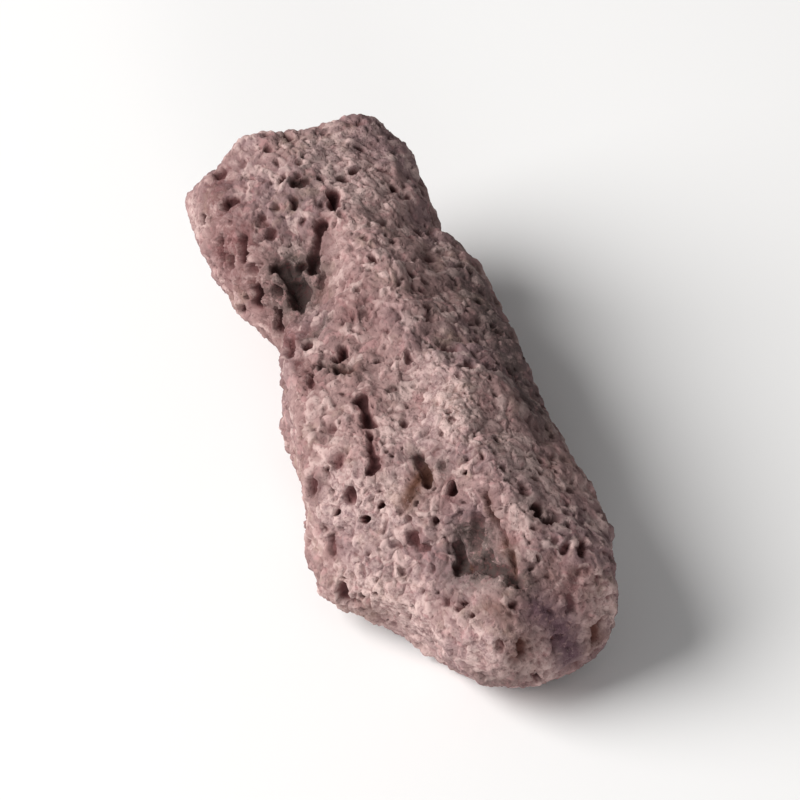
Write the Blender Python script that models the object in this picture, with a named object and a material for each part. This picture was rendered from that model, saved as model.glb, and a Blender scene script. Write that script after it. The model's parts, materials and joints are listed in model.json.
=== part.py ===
"""Lava rock: one long stone of red scoria, lying on its flattest side.

It lies along Y, with its thicker, cut-off looking end at -Y and its knobby end, bent to the left, at +Y.
The form starts as a ball of directions. Each direction is walked out from a spine until it meets the
nearest of a set of facet planes, whose edges are rounded. Lumps and hollows are then raised and sunk
along the same direction, and the larger gas bubbles are cut open last.
"""

from functools import lru_cache

import bmesh
import bpy
import numpy as np

# Lengths are in millimetres until the mesh is written, in metres.
GRID = 96               # squares along each edge of the starting cube
TRIANGLES = 9200        # triangles of the finished stone
SPINE_HALF = 25.0       # half the length of the line that the form is walked out from
ROUNDING = 16.0         # higher gives sharper edges between the facets
BEND = 0.26             # sideways shift of the far end, per millimetre of length
BEND_FROM = 14.0        # where along Y the bend begins
BEND_EASE = 5.0         # length over which it eases in
DRAWN_TO = 7.0          # only what lies left of this is drawn out to the left
DRAWN_OVER = 2.5        # width over which that fades
REST_LEVEL = -12.0      # the underside is worn flat at this height
LUMP_HEIGHT = 1.1       # height of the uneven swells all over the stone
LUMP_SIZE = 12.0        # width of the largest of them

# Facet planes: outward direction, and distance from the middle of the stone.
FACETS = [
    ("underside, left", (-0.17, 0.02, -0.98), 12.9),
    ("underside, right", (0.22, -0.01, -0.97), 13.1),
    ("top, left slope", (-0.30, -0.02, 0.95), 12.6),
    ("top, right slope", (0.54, 0.02, 0.84), 12.7),
    ("right shoulder", (0.80, 0.04, 0.60), 15.3),
    ("right side", (1.00, 0.05, -0.20), 15.4),
    ("lower right", (0.70, 0.00, -0.72), 16.5),
    ("lower left", (-0.72, 0.22, -0.66), 14.8),
    ("left side", (-0.98, 0.12, 0.10), 15.2),
    ("near end", (0.05, -1.00, -0.02), 43.8),
    ("near end, slope", (0.10, -0.76, 0.64), 35.2),
    ("near end, left cut", (-0.72, -0.66, -0.20), 30.4),
    ("near end, under", (0.00, -0.72, -0.70), 36.0),
    ("near end, right", (0.88, -0.48, -0.10), 33.4),
    ("near left, slope", (-0.60, -0.40, 0.69), 18.8),
    ("near right, low", (0.58, -0.46, -0.67), 33.0),
    ("far end", (0.03, 1.00, 0.05), 38.9),
    ("far end, left", (-0.62, 0.78, 0.00), 37.8),
    ("far end, right", (0.75, 0.66, 0.10), 34.5),
    ("far end, upper", (0.00, 0.60, 0.80), 36.0),
    ("far end, under", (-0.10, 0.62, -0.78), 31.5),
    ("far right, low", (0.66, 0.42, -0.62), 24.5),
    ("far right, upper", (0.80, 0.38, 0.46), 25.5),
]

# Lumps (+) and hollows (-): middle, reach along X, Y and Z, height.
RELIEF = [
    ("waist", (-13.0, 12.0, 0.0), (5.0, 5.0, 9.0), -3.0),
    ("undercut", (-21.0, 27.0, -9.0), (8.0, 8.0, 7.0), -4.8),
    ("far left edge", (-17.5, 28.5, 3.0), (4.0, 5.0, 4.0), 2.4),
    ("right swell", (15.0, 17.0, 4.0), (7.0, 7.0, 8.0), 0.6),
    ("right slope hollow", (7.0, 15.0, 11.0), (4.0, 6.0, 5.0), -1.0),
    ("dark hollow", (-9.0, 18.0, 9.0), (5.0, 6.0, 6.0), -3.0),
    ("far knob, left", (-9.5, 38.0, 11.0), (4.5, 4.0, 5.0), 2.2),
    ("far knob, right", (6.0, 36.0, 10.5), (4.5, 5.0, 5.0), 0.8),
    ("far left corner", (-14.5, 37.8, 10.5), (3.5, 3.0, 3.5), -2.2),
    ("dip between them", (-3.5, 38.0, 10.0), (2.0, 4.0, 6.0), -1.0),
    ("far right top", (8.5, 31.0, 10.5), (4.5, 7.0, 4.5), 5.0),
    ("far right flank", (13.5, 26.0, 4.0), (4.0, 6.0, 6.0), -1.8),
    ("ridge", (1.5, 10.0, 14.0), (4.0, 7.0, 5.0), 1.4),
    ("pale knob", (2.5, -14.0, 14.0), (2.6, 3.4, 3.0), 0.8),
    ("ridge, middle", (6.5, -17.0, 12.0), (3.0, 8.0, 4.0), 1.3),
    ("end hollow", (-0.3, -34.5, 6.3), (3.8, 3.0, 3.2), -3.0),
    ("lip below it", (-2.0, -38.5, 3.0), (5.5, 2.0, 2.6), 1.8),
    ("near toe", (-2.0, -43.0, -5.0), (7.0, 4.0, 5.0), 3.2),
    ("near left", (-10.0, -36.0, -5.0), (6.0, 6.0, 6.0), -1.4),
    ("step", (8.0, -36.0, 10.0), (3.0, 6.0, 5.0), -1.4),
    ("left side, middle", (-15.0, -4.0, 3.0), (4.0, 6.0, 6.0), -0.9),
    ("left side hollow", (-17.0, -9.0, -5.0), (5.0, 6.0, 5.0), -2.0),
    ("left side, low", (-15.0, -21.0, -10.0), (5.0, 6.0, 5.0), -1.0),
    ("right side hollow", (17.0, -9.0, -3.0), (5.0, 7.0, 5.0), -2.6),
    ("right side, upper", (14.5, -21.0, 3.0), (4.0, 5.0, 5.0), 0.5),
    ("right side dent", (15.0, 7.0, -6.0), (4.0, 5.0, 4.0), -1.8),
    ("far end hollow", (0.0, 40.0, -3.0), (5.0, 4.0, 5.0), -2.2),
    ("belly hollow", (4.0, 22.0, -14.0), (7.0, 9.0, 5.0), -2.2),
    ("belly hollow, near", (-8.0, -18.0, -14.0), (6.0, 8.0, 5.0), -1.8),
]

# The larger pits, each a slot with round ends: from, to, radius, depth.
PITS = [
    ("far pit", (-1.3, 24.6, 13.3), (-1.9, 22.4, 13.2), 0.90, 2.6),
    ("far slot", (-5.4, 27.9, 13.4), (-3.8, 27.3, 13.4), 0.85, 1.2),
    ("far slot, lower", (-6.0, 26.0, 12.7), (-6.2, 25.0, 12.5), 0.85, 1.2),
    ("far left slot", (-14.1, 29.5, 10.5), (-12.7, 29.2, 11.1), 0.85, 1.2),
    ("far corner pit", (-13.0, 35.7, 9.8), (-12.7, 35.5, 10.0), 0.85, 1.2),
    ("gully", (-3.9, 21.0, 12.1), (-6.1, 17.0, 9.2), 0.85, 1.2),
    ("gully, head", (-4.0, 20.8, 12.0), (-4.4, 20.0, 11.5), 0.85, 2.0),
    ("gully, low", (-5.9, 17.4, 9.5), (-6.1, 16.8, 9.2), 1.00, 2.0),
    ("pit left of the hollow", (-12.9, 20.8, 7.2), (-12.9, 20.5, 7.0), 0.85, 1.2),
    ("gully, foot", (-5.4, 15.0, 9.2), (-6.1, 14.2, 8.9), 0.85, 1.2),
    ("pit left of the gully", (-9.7, 22.8, 10.4), (-9.8, 22.5, 10.3), 0.85, 1.2),
    ("left slot", (-13.0, 24.0, 9.6), (-13.5, 22.2, 7.4), 0.85, 1.2),
    ("left pit", (-15.3, 26.7, 7.0), (-15.6, 25.5, 5.6), 0.95, 1.4),
    ("hollow, deepest", (-8.6, 15.6, 7.9), (-9.0, 13.8, 7.3), 1.50, 3.0),
    ("hollow, top", (-9.0, 18.0, 8.5), (-10.4, 18.6, 8.4), 1.05, 2.0),
    ("hollow, left", (-11.4, 16.4, 7.2), (-11.4, 15.8, 6.6), 0.85, 1.6),
    ("hollow, middle", (-7.6, 17.6, 8.8), (-8.2, 17.2, 8.6), 0.85, 1.6),
    ("low pit", (-12.9, 18.9, 5.0), (-13.0, 18.4, 3.2), 1.05, 2.4),
    ("waist pit", (-11.2, 14.9, 3.8), (-11.4, 14.3, 2.2), 1.10, 2.0),
    ("waist groove", (-12.5, 5.9, 8.0), (-13.1, 4.0, 8.2), 0.90, 1.4),
    ("pit by the waist", (-7.4, 0.2, 10.9), (-7.7, -0.9, 10.7), 0.85, 1.7),
    ("pit below it", (-8.8, -2.8, 10.7), (-7.5, -4.2, 11.2), 0.85, 1.2),
    ("red crack", (-12.0, -1.5, 9.6), (-12.6, -3.5, 9.5), 0.85, 1.2),
    ("slit, wide end", (-7.6, -8.9, 10.8), (-7.9, -12.8, 10.7), 0.85, 2.0),
    ("slit, narrow end", (-8.4, -14.4, 10.6), (-8.9, -18.7, 8.9), 0.85, 1.7),
    ("brown pit", (-3.9, -20.1, 10.6), (-3.6, -23.4, 9.3), 0.85, 1.5),
    ("pit beside it", (-1.3, -25.4, 10.0), (-1.5, -26.5, 8.8), 0.85, 1.7),
    ("brown crack", (2.4, -30.9, 9.8), (3.1, -33.7, 7.6), 0.85, 1.2),
    ("end hollow, foot", (-3.0, -33.2, 3.3), (2.6, -38.6, 6.3), 1.00, 1.7),
    ("end hollow, top", (0.7, -30.2, 7.9), (-0.3, -31.2, 5.3), 1.10, 1.2),
    ("end hollow, left", (-2.4, -32.6, 3.6), (-2.8, -33.9, 3.3), 1.00, 1.6),
    ("end hollow, floor", (0.1, -34.1, 5.2), (2.1, -36.0, 6.5), 1.00, 1.2),
    ("end hollow, right", (2.2, -38.6, 6.2), (3.0, -39.2, 6.4), 0.90, 1.4),
    ("left end pit", (-6.7, -27.3, 4.6), (-6.7, -27.9, 4.2), 0.85, 1.2),
    ("right pit", (8.0, -31.0, 9.2), (7.6, -32.4, 8.9), 0.85, 1.7),
    ("right pit, lower", (8.6, -33.3, 8.7), (9.7, -33.2, 8.4), 0.85, 1.5),
    ("right edge pit", (12.1, -36.0, 7.1), (11.5, -37.8, 6.7), 0.85, 1.5),
    ("right end pit", (8.9, -41.6, 2.9), (8.9, -42.1, 2.2), 0.85, 1.2),
    ("left side pit", (-15.9, -15.2, 5.0), (-16.1, -15.9, 3.9), 0.85, 1.2),
    ("left side slot", (-14.9, -20.6, 0.3), (-15.3, -21.9, -0.8), 0.85, 1.2),
    ("left low pit", (-15.2, -25.6, -3.5), (-15.3, -25.9, -5.4), 0.85, 1.5),
    ("toe pit", (1.8, -44.4, -0.3), (1.7, -44.8, -1.3), 0.85, 1.3),
    ("toe pit, right", (12.0, -42.7, -2.5), (12.0, -42.9, -4.0), 0.85, 1.3),
]

# Scattered bubbles: spacing, smallest and largest radius, share of the places that hold one, seed.
BUBBLES = [(4.4, 0.7, 1.4, 0.45, 11)]


def unit(v):
    return v / np.linalg.norm(v, axis=-1, keepdims=True)


@lru_cache
def table(seed):
    return np.random.default_rng(seed).random((40, 40, 40))


def dice(cell, seed):
    """A random number from 0 to 1 for each whole-numbered cell of space."""
    i = cell.astype(int) % 40
    return table(seed)[i[..., 0], i[..., 1], i[..., 2]]


def noise(p, size, seed):
    """Smooth random swells from -1 to 1, about one size wide."""
    cell = np.floor(p / size)
    f = p / size - cell
    f = f * f * f * (f * (6 * f - 15) + 10)
    total = 0
    for corner in np.ndindex(2, 2, 2):
        share = np.where(corner, f, 1 - f).prod(axis=-1)
        total = total + share * dice(cell + corner, seed)
    return 2 * total - 1


def swells(p, size, seed):
    """Four layers of swells, each half as wide as the one before, and 0.6 times as high."""
    return sum(noise(p, size / 2 ** k, seed + k) * 0.6 ** k for k in range(4))


def facets(d):
    """Walks out from the spine along each direction to the nearest facet plane, with rounded edges."""
    start = np.zeros_like(d)
    start[:, 1] = SPINE_HALF * np.sin(0.5 * np.pi * d[:, 1])
    nearness = 0
    for _, outward, distance in FACETS:
        n = unit(np.array(outward))
        nearness = nearness + np.clip(d @ n / (distance - start @ n), 0, None) ** ROUNDING
    p = start + d * nearness[:, None] ** (-1 / ROUNDING)
    drawn = BEND * BEND_EASE * np.log1p(np.exp((p[:, 1] - BEND_FROM) / BEND_EASE))
    p[:, 0] -= drawn / (1 + np.exp((p[:, 0] - DRAWN_TO) / DRAWN_OVER))
    return p


def relief(p):
    """Height of the lumps and hollows at each point."""
    height = LUMP_HEIGHT * swells(p, LUMP_SIZE, 3)
    for _, middle, reach, rise in RELIEF:
        away = (p - np.array(middle)) / np.array(reach)
        height += rise * np.exp(-0.5 * (away ** 2).sum(axis=1))
    return height


def pits(p):
    """Depth of the named pits: a round-bottomed slot along the line from one end to the other."""
    depth = np.zeros(len(p))
    for _, a, b, radius, deep in PITS:
        a, b = np.array(a), np.array(b)
        along = np.clip((p - a) @ (b - a) / ((b - a) @ (b - a)), 0, 1)
        away = np.linalg.norm(p - a - along[:, None] * (b - a), axis=1) / radius
        depth = np.maximum(depth, deep * np.sqrt(np.clip(1 - away ** 2, 0, None)))
    return depth


def bubbles(p, d, spacing, smallest, largest, share, seed):
    """Depth, along -d, of the far wall of any bubble that the surface cuts open."""
    home = np.floor(p / spacing)
    depth = np.zeros(len(p))
    for corner in np.ndindex(3, 3, 3):
        cell = home + corner - 1
        middle = (cell + np.stack([dice(cell, seed + k) for k in range(3)], axis=1)) * spacing
        radius = smallest + (largest - smallest) * dice(cell, seed + 3) ** 1.6
        radius = np.where(dice(cell, seed + 4) < share, radius, 0)
        gap = middle - p
        down = -(gap * d).sum(axis=1)
        far = (gap ** 2).sum(axis=1)
        wall = down + np.sqrt(np.clip(radius ** 2 - far + down ** 2, 0, None))
        depth = np.maximum(depth, np.where(far < radius ** 2, wall, 0))
    return depth


def stone(d):
    """Points of the stone for directions d, with its underside worn flat at REST_LEVEL."""
    p = facets(d)
    p = p + d * relief(p)[:, None]
    warped = p + 0.5 * np.stack([noise(p, 3.0, 81 + k) for k in range(3)], axis=1)
    depth = pits(p)
    for layer in BUBBLES:
        depth = np.maximum(depth, bubbles(warped, d, *layer))
    p = p - d * depth[:, None]
    p[:, 2] = np.maximum(p[:, 2], REST_LEVEL)
    return p


def clear_scene():
    for obj in list(bpy.data.objects):
        bpy.data.objects.remove(obj, do_unlink=True)


def cube_of_squares():
    """A cube of side 2 with a grid of squares on each face."""
    bm = bmesh.new()
    bmesh.ops.create_cube(bm, size=2.0)
    bmesh.ops.subdivide_edges(bm, edges=bm.edges[:], cuts=GRID - 1, use_grid_fill=True)
    mesh = bpy.data.meshes.new("lava_rock")
    bm.to_mesh(mesh)
    bm.free()
    return mesh


def points_of(mesh):
    flat = np.empty(len(mesh.vertices) * 3, np.float32)
    mesh.vertices.foreach_get("co", flat)
    return flat.reshape(-1, 3).astype(float)


def move_points(mesh, points):
    mesh.vertices.foreach_set("co", points.astype(np.float32).ravel())
    mesh.update()


def scoria():
    material = bpy.data.materials.new("red_scoria")
    material.use_nodes = True
    surface = material.node_tree.nodes["Principled BSDF"]
    surface.inputs["Base Color"].default_value = (0.30, 0.21, 0.19, 1.0)
    surface.inputs["Roughness"].default_value = 0.95
    surface.inputs["Metallic"].default_value = 0.0
    return material


def build():
    clear_scene()
    collection = bpy.data.collections.new("lava_rock")
    bpy.context.scene.collection.children.link(collection)

    # A cube's grid, spread evenly over the ball of directions, then moved out to the stone's surface.
    mesh = cube_of_squares()
    directions = unit(np.tan(np.pi / 4 * points_of(mesh)))
    move_points(mesh, stone(directions) / 1000)
    rock = bpy.data.objects.new("lava_rock", mesh)
    collection.objects.link(rock)

    # Fewer triangles where the surface is plain, more around the pits.
    thin = rock.modifiers.new("fewer triangles", "DECIMATE")
    thin.ratio = TRIANGLES / (12 * GRID ** 2)
    bpy.context.view_layer.update()
    evaluated = rock.evaluated_get(bpy.context.evaluated_depsgraph_get())
    thinned = bpy.data.meshes.new_from_object(evaluated)
    rock.modifiers.clear()
    rock.data = thinned
    bpy.data.meshes.remove(mesh)

    # The resting face is made exactly flat, and the origin goes below the middle, on that face.
    points = points_of(thinned)
    floor = REST_LEVEL / 1000
    points[points[:, 2] < floor + 0.00004, 2] = floor
    low = points.min(axis=0)
    high = points.max(axis=0)
    origin = np.array([(low[0] + high[0]) / 2, (low[1] + high[1]) / 2, floor])
    move_points(thinned, points - origin)
    thinned.shade_smooth()
    thinned.materials.clear()
    thinned.materials.append(scoria())
    print("size (mm):", ((high - low) * 1000).round(2), "origin at (mm):", (origin * 1000).round(3))
    print("triangles:", len(thinned.polygons))


build()
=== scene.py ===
# %% [markdown]
# # A piece of lava rock
#
# This notebook dresses one long stone of red scoria, the frothy rock that a volcano throws out and that is
# sold for gas grills and fire pits. The measured solid is loaded first and is never changed. A finer stone
# of the same form is then worked out with numpy, with the small bubbles that the solid leaves out, and gets
# a procedural finish. Lengths are in millimetres until a mesh is made, because pores are easier to think
# about that way.

import json
from functools import lru_cache
from math import cos, radians, sin

import bpy
import numpy as np
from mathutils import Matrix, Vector

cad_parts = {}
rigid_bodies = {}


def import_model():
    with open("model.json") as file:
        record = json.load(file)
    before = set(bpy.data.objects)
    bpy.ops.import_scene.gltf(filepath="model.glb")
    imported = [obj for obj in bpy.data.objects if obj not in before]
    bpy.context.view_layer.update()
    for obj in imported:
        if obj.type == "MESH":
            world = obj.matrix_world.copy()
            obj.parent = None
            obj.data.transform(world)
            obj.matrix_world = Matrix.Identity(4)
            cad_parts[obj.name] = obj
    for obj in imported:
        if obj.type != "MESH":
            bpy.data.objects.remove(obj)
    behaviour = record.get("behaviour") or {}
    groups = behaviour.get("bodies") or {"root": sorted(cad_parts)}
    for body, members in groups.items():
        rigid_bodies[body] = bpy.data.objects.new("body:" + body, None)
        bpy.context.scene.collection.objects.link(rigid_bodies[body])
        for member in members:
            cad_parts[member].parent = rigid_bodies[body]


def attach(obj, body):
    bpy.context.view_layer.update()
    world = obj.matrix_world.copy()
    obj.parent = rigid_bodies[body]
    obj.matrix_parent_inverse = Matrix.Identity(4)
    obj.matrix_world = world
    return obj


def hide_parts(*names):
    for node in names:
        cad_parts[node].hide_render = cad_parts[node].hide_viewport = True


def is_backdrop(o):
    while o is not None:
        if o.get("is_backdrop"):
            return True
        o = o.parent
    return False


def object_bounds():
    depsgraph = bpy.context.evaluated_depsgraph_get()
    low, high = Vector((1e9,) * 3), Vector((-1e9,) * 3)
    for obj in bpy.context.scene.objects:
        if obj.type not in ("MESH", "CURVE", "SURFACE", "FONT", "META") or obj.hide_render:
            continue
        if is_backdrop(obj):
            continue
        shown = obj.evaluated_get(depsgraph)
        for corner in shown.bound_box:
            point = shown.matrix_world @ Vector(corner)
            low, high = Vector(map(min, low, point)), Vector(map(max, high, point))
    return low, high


for thing in list(bpy.data.objects):
    bpy.data.objects.remove(thing, do_unlink=True)
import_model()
solid_box = [list(corner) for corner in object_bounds()]
MM = 0.001


def tell(what, values):
    """Prints values in short, to a hundredth."""
    print(what + ":", np.round(values, 2).tolist())


tell("solid, from and to (mm)", np.array(solid_box) / MM)

# %% [markdown]
# ## Where the middle of the stone is
#
# The stone's own numbers are measured from a point in its middle, which is where the line that it grows from
# lies. The solid's origin is on the table below that point, so one small shift joins the two. The flat patch
# that the stone rests on is at the same height in both.

# %% The stone's middle in the solid's frame
MIDDLE = np.array([-0.034, 2.471, 12.0])
REST_LEVEL = -12.0
tell("middle above the table (mm)", MIDDLE)

# %% [markdown]
# ## A ball of directions
#
# A stone has no seam and no poles, so its surface is best spread over a ball evenly. The usual way is a cube
# whose six square sides are blown up into a ball: each side is a grid of two parameters, and a tangent keeps
# the squares near the corners as large as those in the middle. Polar rings would have pinched the pores at
# both ends of the stone.

# %% Six squares that close into a ball
def unit(v):
    """Each vector divided by its own length."""
    return v / np.linalg.norm(v, axis=-1, keepdims=True)


def side_of_ball(axis, sign, squares):
    """The directions of one side of the cube, for two parameters from -1 to 1 across it.

    Each parameter is an angle of 45 degrees either way, its tangent is the place on the cube's side, and the
    place divided by its own length is the direction. The second parameter runs backwards on the sides that
    face -X, -Y and -Z, so that all of them face outwards.
    """
    second, third = (axis + 1) % 3, (axis + 2) % 3
    across = [np.tan(np.pi / 4 * np.linspace(-1, 1, squares[k] + 1)) for k in (second, third)]
    u, v = np.meshgrid(*across, indexing="ij")
    place = np.empty(u.shape + (3,))
    place[..., axis] = sign
    place[..., second] = u * sign
    place[..., third] = v
    return unit(place)


def ball(squares):
    """Directions of the whole ball, each once, and the quads that join them.

    The sides are laid end to end, and directions that agree to a millionth are the same point.
    """
    sides = [side_of_ball(axis, sign, squares) for axis in range(3) for sign in (1, -1)]
    everywhere = np.concatenate([side.reshape(-1, 3) for side in sides])
    _, first, number = np.unique(np.round(everywhere * 1e6).astype(np.int64), axis=0,
                                 return_index=True, return_inverse=True)
    quads, start = [], 0
    for side in sides:
        n = number[start:start + side[..., 0].size].reshape(side.shape[:2])
        quads.append(np.stack([n[:-1, :-1], n[1:, :-1], n[1:, 1:], n[:-1, 1:]], axis=-1).reshape(-1, 4))
        start += n.size
    return everywhere[first], np.concatenate(quads)


# %% [markdown]
# ## How fine the ball is
#
# The stone is long, so the cube's sides get more squares along Y than across. The squares are then about as
# wide as they are long once the ball is drawn out to the stone, and the rims of small pores stay sharp. A few
# of the directions are kept apart, to try each step on.

# %% The directions of this stone
SQUARES = (170, 480, 170)
directions, quads = ball(SQUARES)
few = directions[::50]
print("directions:", len(directions), "quads:", len(quads), "to try on:", len(few))

# %% [markdown]
# ## The form: facets round a bent spine
#
# Lava rock breaks along rough planes and is then rounded as the pieces rub in a sack. So the form is a set
# of facet planes whose edges are eased. Each direction walks out from a short line inside the stone until it
# meets the nearest plane. To round the edges, the nearness of all the planes is added up with a high power
# instead of taking the largest. Past its waist the stone widens to the left, so there the form is drawn out
# that way, while its right side stays straight.

# %% The facet planes and the bend
SPINE_HALF = 25.0   # half the length of the line that the form is walked out from
ROUNDING = 16.0     # higher gives sharper edges between the facets
BEND = 0.26         # sideways shift of the far end, for each millimetre of length
BEND_FROM = 14.0    # where along Y the bend begins
BEND_EASE = 5.0     # length over which it eases in
DRAWN_TO = 7.0      # only what lies left of this is drawn out to the left
DRAWN_OVER = 2.5    # width over which that fades
# Each plane: outward direction, and distance from the middle of the stone.
FACETS = [
    ("underside, left", (-0.17, 0.02, -0.98), 12.9),
    ("underside, right", (0.22, -0.01, -0.97), 13.1),
    ("top, left slope", (-0.30, -0.02, 0.95), 12.6),
    ("top, right slope", (0.54, 0.02, 0.84), 12.7),
    ("right shoulder", (0.80, 0.04, 0.60), 15.3),
    ("right side", (1.00, 0.05, -0.20), 15.4),
    ("lower right", (0.70, 0.00, -0.72), 16.5),
    ("lower left", (-0.72, 0.22, -0.66), 14.8),
    ("left side", (-0.98, 0.12, 0.10), 15.2),
    ("near end", (0.05, -1.00, -0.02), 43.8),
    ("near end, slope", (0.10, -0.76, 0.64), 35.2),
    ("near end, left cut", (-0.72, -0.66, -0.20), 30.4),
    ("near end, under", (0.00, -0.72, -0.70), 36.0),
    ("near end, right", (0.88, -0.48, -0.10), 33.4),
    ("near left, slope", (-0.60, -0.40, 0.69), 18.8),
    ("near right, low", (0.58, -0.46, -0.67), 33.0),
    ("far end", (0.03, 1.00, 0.05), 38.9),
    ("far end, left", (-0.62, 0.78, 0.00), 37.8),
    ("far end, right", (0.75, 0.66, 0.10), 34.5),
    ("far end, upper", (0.00, 0.60, 0.80), 36.0),
    ("far end, under", (-0.10, 0.62, -0.78), 31.5),
    ("far right, low", (0.66, 0.42, -0.62), 24.5),
    ("far right, upper", (0.80, 0.38, 0.46), 25.5),
]


def facets(d):
    """Walks out along each direction d from the spine to the facet planes.

    The start is on the spine, as far along Y as a quarter wave of the direction's Y. A plane's nearness is
    the direction's part along its normal, divided by the room left to it. The distance walked is one over
    the nearnesses summed in a high power. Past BEND_FROM, X is shifted in proportion to Y, eased in, and
    the shift fades to nothing for points right of DRAWN_TO.
    """
    start = np.zeros_like(d)
    start[:, 1] = SPINE_HALF * np.sin(0.5 * np.pi * d[:, 1])
    nearness = 0
    for _, outward, distance in FACETS:
        n = unit(np.array(outward))
        nearness = nearness + np.clip(d @ n / (distance - start @ n), 0, None) ** ROUNDING
    p = start + d * nearness[:, None] ** (-1 / ROUNDING)
    drawn = BEND * BEND_EASE * np.log1p(np.exp((p[:, 1] - BEND_FROM) / BEND_EASE))
    p[:, 0] -= drawn / (1 + np.exp((p[:, 0] - DRAWN_TO) / DRAWN_OVER))
    return p


form = facets(few)
tell("bare form, from and to (mm)", [form.min(axis=0), form.max(axis=0)])


# %% [markdown]
# ## Uneven swells
#
# Nothing on a stone is flat. Random heights on a lattice, blended smoothly between its points, give swells
# of one width. Layers of them, each finer and lower, give the lumpy skin. The dice come from numbered
# tables, so the stone is the same each time.

# %% Dice, noise and swells
# The dice repeat after this many cells, so only what is about 2 mm wide or finer repeats along the stone.
REPEAT = 40


@lru_cache
def table(seed):
    """A block of random numbers from 0 to 1, the same each time for the same seed."""
    return np.random.default_rng(seed).random((REPEAT, REPEAT, REPEAT))


def dice(cell, seed):
    """A random number from 0 to 1 for each whole-numbered cell of space: the block, repeated."""
    i = cell.astype(int) % REPEAT
    return table(seed)[i[..., 0], i[..., 1], i[..., 2]]


def noise(p, size, seed):
    """Random heights from -1 to 1 on a lattice one size wide, blended smoothly between its points.

    Each point's height is the sum of the eight corners of its cell, each times its share. The share along an
    axis is the smooth step 6f^5 - 15f^4 + 10f^3 of the place f in the cell.
    """
    cell = np.floor(p / size)
    f = p / size - cell
    f = f * f * f * (f * (6 * f - 15) + 10)
    total = 0
    for corner in np.ndindex(2, 2, 2):
        share = np.where(corner, f, 1 - f).prod(axis=-1)
        total = total + share * dice(cell + corner, seed)
    return 2 * total - 1


def swells(p, size, seed):
    """Four layers of noise, each half as wide as the one before, and 0.6 times as high."""
    return sum(noise(p, size / 2 ** k, seed + k) * 0.6 ** k for k in range(4))


LUMP_HEIGHT = 1.1
LUMP_SIZE = 12.0
tell("spread of the swells (mm)", LUMP_HEIGHT * swells(form, LUMP_SIZE, 3).std())


# %% [markdown]
# ## Lumps, hollows and the pits that have a place
#
# The features that make this stone itself are placed one by one: the waist and the dark hollow beside it, the
# two knobs at the far end, the long slit in the middle, and the hollow with a pale lip at the near end.
# Broad ones are bell curves in space. A pit is a slot with a round bottom along a short line.

# %% The list of lumps and hollows
# Each row: middle, reach along X, Y and Z, and height, which is negative for a hollow.
RELIEF = [
    ("waist", (-13.0, 12.0, 0.0), (5.0, 5.0, 9.0), -3.0),
    ("undercut", (-21.0, 27.0, -9.0), (8.0, 8.0, 7.0), -4.8),
    ("far left edge", (-17.5, 28.5, 3.0), (4.0, 5.0, 4.0), 2.4),
    ("right swell", (15.0, 17.0, 4.0), (7.0, 7.0, 8.0), 0.6),
    ("right slope hollow", (7.0, 15.0, 11.0), (4.0, 6.0, 5.0), -1.0),
    ("dark hollow", (-9.0, 18.0, 9.0), (5.0, 6.0, 6.0), -3.0),
    ("far knob, left", (-9.5, 38.0, 11.0), (4.5, 4.0, 5.0), 2.2),
    ("far knob, right", (6.0, 36.0, 10.5), (4.5, 5.0, 5.0), 0.8),
    ("far left corner", (-14.5, 37.8, 10.5), (3.5, 3.0, 3.5), -2.2),
    ("dip between them", (-3.5, 38.0, 10.0), (2.0, 4.0, 6.0), -1.0),
    ("far right top", (8.5, 31.0, 10.5), (4.5, 7.0, 4.5), 5.0),
    ("far right flank", (13.5, 26.0, 4.0), (4.0, 6.0, 6.0), -1.8),
    ("ridge", (1.5, 10.0, 14.0), (4.0, 7.0, 5.0), 1.4),
    ("pale knob", (2.5, -14.0, 14.0), (2.6, 3.4, 3.0), 0.8),
    ("ridge, middle", (6.5, -17.0, 12.0), (3.0, 8.0, 4.0), 1.3),
    ("end hollow", (-0.3, -34.5, 6.3), (3.8, 3.0, 3.2), -3.0),
    ("lip below it", (-2.0, -38.5, 3.0), (5.5, 2.0, 2.6), 1.8),
    ("near toe", (-2.0, -43.0, -5.0), (7.0, 4.0, 5.0), 3.2),
    ("near left", (-10.0, -36.0, -5.0), (6.0, 6.0, 6.0), -1.4),
    ("step", (8.0, -36.0, 10.0), (3.0, 6.0, 5.0), -1.4),
    ("left side, middle", (-15.0, -4.0, 3.0), (4.0, 6.0, 6.0), -0.9),
    ("left side hollow", (-17.0, -9.0, -5.0), (5.0, 6.0, 5.0), -2.0),
    ("left side, low", (-15.0, -21.0, -10.0), (5.0, 6.0, 5.0), -1.0),
    ("right side hollow", (17.0, -9.0, -3.0), (5.0, 7.0, 5.0), -2.6),
    ("right side, upper", (14.5, -21.0, 3.0), (4.0, 5.0, 5.0), 0.5),
    ("right side dent", (15.0, 7.0, -6.0), (4.0, 5.0, 4.0), -1.8),
    ("far end hollow", (0.0, 40.0, -3.0), (5.0, 4.0, 5.0), -2.2),
    ("belly hollow", (4.0, 22.0, -14.0), (7.0, 9.0, 5.0), -2.2),
    ("belly hollow, near", (-8.0, -18.0, -14.0), (6.0, 8.0, 5.0), -1.8),
    ("left low corner", (-14.5, -22.8, -11.5), (2.6, 3.0, 2.6), -1.4),
]


def relief(p):
    """Height of the skin: the swells, plus a bell curve for each lump and hollow."""
    height = LUMP_HEIGHT * swells(p, LUMP_SIZE, 3)
    for _, middle, reach, rise in RELIEF:
        away = (p - np.array(middle)) / np.array(reach)
        height += rise * np.exp(-0.5 * (away ** 2).sum(axis=1))
    return height


heights = relief(form)
tell("relief, from and to (mm)", [heights.min(), heights.max()])

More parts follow.
